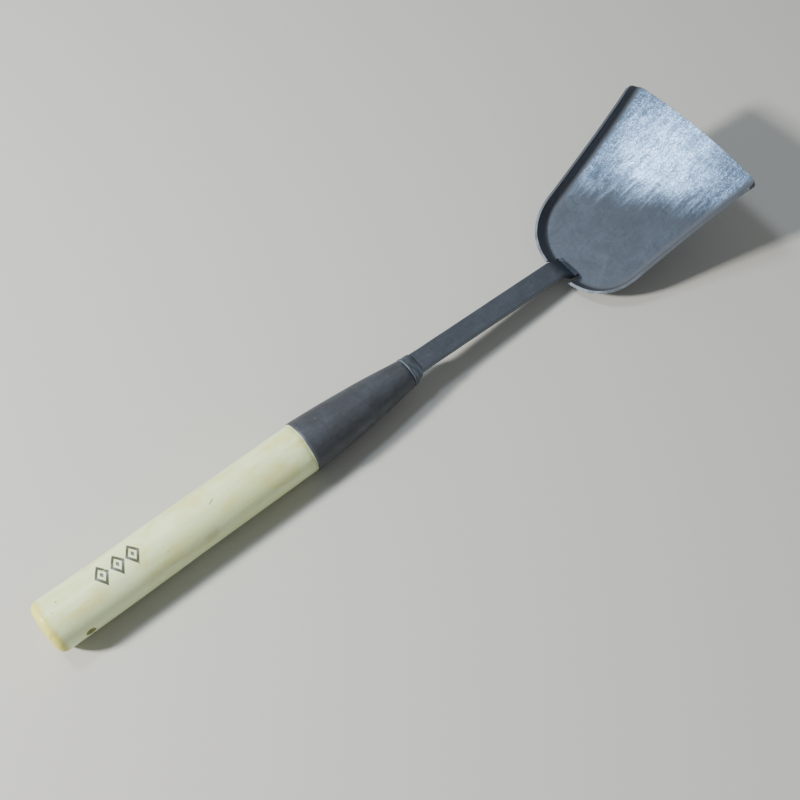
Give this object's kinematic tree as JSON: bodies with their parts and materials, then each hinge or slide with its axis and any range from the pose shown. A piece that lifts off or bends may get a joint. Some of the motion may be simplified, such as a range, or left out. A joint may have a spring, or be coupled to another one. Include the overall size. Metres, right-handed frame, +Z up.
{
  "type": "wok spatula",
  "caption": "Wok spatula with a walled shovel head of forged steel, a flat goose-neck shank, a conical socket and a round wooden handle with a hanging hole.",
  "frame": {"origin": "Bottom centre of the bounding box, on the surface that the spatula lies on.", "axes": "+X runs from the butt of the handle to the front edge of the head, +Y to the left of that, +Z up."},
  "size_m": [0.4522, 0.0988, 0.0609],
  "materials": {
    "handle_wood": "pale wood under clear lacquer",
    "socket_steel": "dark forge scale",
    "collar_steel": "dark steel with ground lines",
    "shank_steel": "dark blue-grey forge scale",
    "head_steel": "burnished blue-grey steel, brightest at the front",
    "weld_steel": "ground weld metal"
  },
  "bodies": {
    "root": {"handle": "handle_wood", "socket": "socket_steel", "socket_collar": "collar_steel", "shank": "shank_steel", "head": "head_steel", "weld_left": "weld_steel", "weld_right": "weld_steel"}
  },
  "joints": []
}
